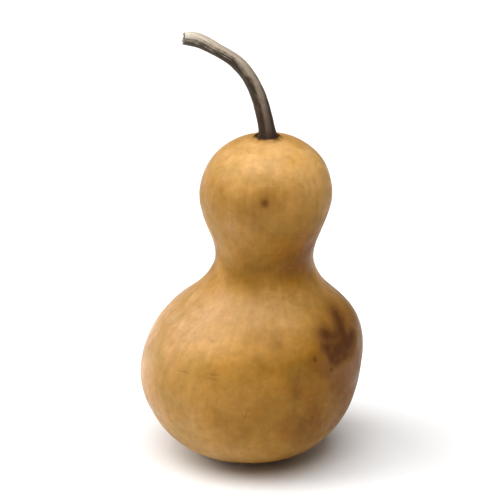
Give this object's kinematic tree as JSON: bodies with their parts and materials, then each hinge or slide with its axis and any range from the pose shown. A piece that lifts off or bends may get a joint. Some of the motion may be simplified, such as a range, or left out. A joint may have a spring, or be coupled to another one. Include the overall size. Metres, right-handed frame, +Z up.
{
  "type": "dried bottle gourd",
  "caption": "Small dried bottle gourd with a round belly, a narrow waist, a round head and a curved dry stem; stands on its flat blossom end.",
  "frame": {"origin": "on the surface the gourd rests on, under the middle of its box", "axes": "+Z up from the blossom end to the stem, -Y the side the picture shows, -X the side the stem bends towards"},
  "size_m": [0.0725, 0.0712, 0.1438],
  "materials": {
    "rind": "dry woody rind with a dull wax sheen, golden tan clouded with olive and brown",
    "stem": "matte weathered plant fibre, pale on its ridges and dark in its grooves"
  },
  "bodies": {
    "root": {"fruit": "rind", "stem": "stem"}
  },
  "joints": []
}
